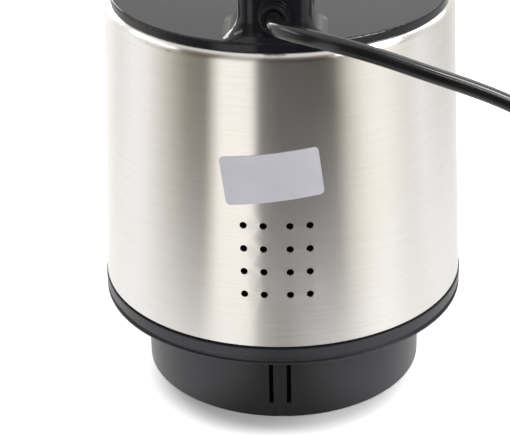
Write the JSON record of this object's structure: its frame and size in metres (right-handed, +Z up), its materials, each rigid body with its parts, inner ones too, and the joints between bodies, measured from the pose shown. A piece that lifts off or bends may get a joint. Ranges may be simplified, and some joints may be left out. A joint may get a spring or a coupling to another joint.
{
  "type": "electric meat grinder motor head",
  "caption": "Motor head of an electric meat grinder: tapered brushed steel drum on a dark round collar, with a black bridge handle, push buttons, a drive socket below and a mains cord.",
  "frame": {"origin": "centre of the collar's lower rim, on the motor axis, where the head stands", "axes": "+Z up along the motor axis, -Y towards the rear with the cord and the vents, +X to the side where the cord lies"},
  "size_m": [0.2977, 0.1871, 0.2412],
  "materials": {
    "brushed_sleeve_steel": "finely brushed across, satin",
    "label_foil": "bare satin foil",
    "charcoal_plastic": "fine grained ABS, charcoal",
    "gloss_black_plastic": "polished ABS, black",
    "cord_pvc": "smooth soft PVC, black",
    "plug_pvc": "moulded soft PVC, black",
    "zinc_steel": "zinc plated",
    "black_steel": "black oxide",
    "spring_steel": "drawn wire, bright",
    "ground_steel": "ground and polished",
    "sintered_steel": "sintered, oiled",
    "electrical_steel": "stacked lacquered sheets",
    "cast_aluminium": "die cast",
    "natural_nylon": "glass filled nylon, natural",
    "red_nylon": "nylon, red",
    "inner_plastic": "plain ABS, grey",
    "black_phenolic": "moulded phenolic, black",
    "dark_nylon": "glass filled nylon, dark grey",
    "board_laminate": "glass laminate, green lacquer",
    "rubber_black": "soft moulded rubber",
    "enamelled_copper": "enamelled copper wire",
    "copper_bars": "turned copper segments",
    "brass_sheet": "pressed brass sheet",
    "plated_brass": "nickel plated brass",
    "carbon": "electrographite"
  },
  "bodies": {
    "head": {"steel_sleeve": "brushed_sleeve_steel", "rating_label": "label_foil", "base_housing": "charcoal_plastic", "base_plate": "charcoal_plastic", "base_screws": "black_steel", "top_cover": "gloss_black_plastic", "housing_screws": "black_steel", "handle_cover": "gloss_black_plastic", "handle_screws": "black_steel", "button_spring_low": "spring_steel", "button_spring_high": "spring_steel", "switch_carrier": "inner_plastic", "micro_switches": "black_phenolic", "circuit_board": "board_laminate", "cable_bush": "cord_pvc", "cord_tail": "cord_pvc", "cord_clamp": "dark_nylon", "clamp_screws": "zinc_steel", "cord": "cord_pvc", "cord_coil": "cord_pvc", "plug_body": "plug_pvc", "plug_pins": "plated_brass", "gearbox_housing": "cast_aluminium", "rubber_dampers": "rubber_black", "gearbox_screws": "zinc_steel", "output_bearing": "ground_steel", "shaft_seal": "rubber_black", "circlip": "black_steel", "ring_gear": "natural_nylon", "lower_bracket": "cast_aluminium", "lower_bearing": "ground_steel", "stator_laminations": "electrical_steel", "field_coils": "enamelled_copper", "upper_bracket": "black_phenolic", "upper_bearing": "ground_steel", "brush_holders": "brass_sheet", "carbon_brushes": "carbon", "brush_springs": "spring_steel", "motor_bolts": "zinc_steel"},
    "rotor": {"sun_gear": "sintered_steel", "motor_shaft": "ground_steel", "cooling_fan": "dark_nylon", "armature_core": "electrical_steel", "armature_winding": "enamelled_copper", "commutator": "copper_bars"},
    "drive": {"planet_carrier": "sintered_steel", "planet_pins": "ground_steel", "output_coupling": "red_nylon", "coupling_screw": "zinc_steel"},
    "planet_1": {"planet_gear_1": "natural_nylon"},
    "planet_2": {"planet_gear_2": "natural_nylon"},
    "planet_3": {"planet_gear_3": "natural_nylon"},
    "low_button": {"button_low": "gloss_black_plastic"},
    "high_button": {"button_high": "gloss_black_plastic"},
    "low_plunger": {"switch_plunger_low": "red_nylon"},
    "high_plunger": {"switch_plunger_high": "red_nylon"}
  },
  "joints": [
    {"name": "rotor_spin", "type": "hinge", "parent": "head", "child": "rotor", "pos_m": [0, 0, 0.116], "axis": [0, 0, 1], "continuous": true},
    {"name": "drive_spin", "type": "hinge", "parent": "head", "child": "drive", "pos_m": [0, 0, 0.04], "axis": [0, 0, 1], "continuous": true},
    {"name": "planet_1_spin", "type": "hinge", "parent": "drive", "child": "planet_1", "pos_m": [0.01875, 0, 0.0605], "axis": [0, 0, 1], "continuous": true},
    {"name": "planet_2_spin", "type": "hinge", "parent": "drive", "child": "planet_2", "pos_m": [-0.00937, 0.01624, 0.0605], "axis": [0, 0, 1], "continuous": true},
    {"name": "planet_3_spin", "type": "hinge", "parent": "drive", "child": "planet_3", "pos_m": [-0.00937, -0.01624, 0.0605], "axis": [0, 0, 1], "continuous": true},
    {"name": "low_button_press", "type": "slide", "parent": "head", "child": "low_button", "axis": [0, 0, -1], "range_m": [0, 0.003], "stiffness_N_per_m": 600, "springref_m": -0.0025, "deforming": ["button_spring_low"]},
    {"name": "low_plunger_slide", "type": "slide", "parent": "head", "child": "low_plunger", "axis": [0, 0, -1], "range_m": [0, 0.0013]},
    {"name": "high_button_press", "type": "slide", "parent": "head", "child": "high_button", "axis": [0, 0, -1], "range_m": [0, 0.003], "stiffness_N_per_m": 600, "springref_m": -0.0025, "deforming": ["button_spring_high"]},
    {"name": "high_plunger_slide", "type": "slide", "parent": "head", "child": "high_plunger", "axis": [0, 0, -1], "range_m": [0, 0.0013]}
  ],
  "couplings": [
    {"joint": "drive_spin", "follows": "rotor_spin", "ratio": 0.2},
    {"joint": "planet_1_spin", "follows": "rotor_spin", "ratio": -0.53333},
    {"joint": "planet_2_spin", "follows": "rotor_spin", "ratio": -0.53333},
    {"joint": "planet_3_spin", "follows": "rotor_spin", "ratio": -0.53333},
    {"joint": "low_plunger_slide", "follows": "low_button_press", "ratio": 0.4},
    {"joint": "high_plunger_slide", "follows": "high_button_press", "ratio": 0.4}
  ]
}
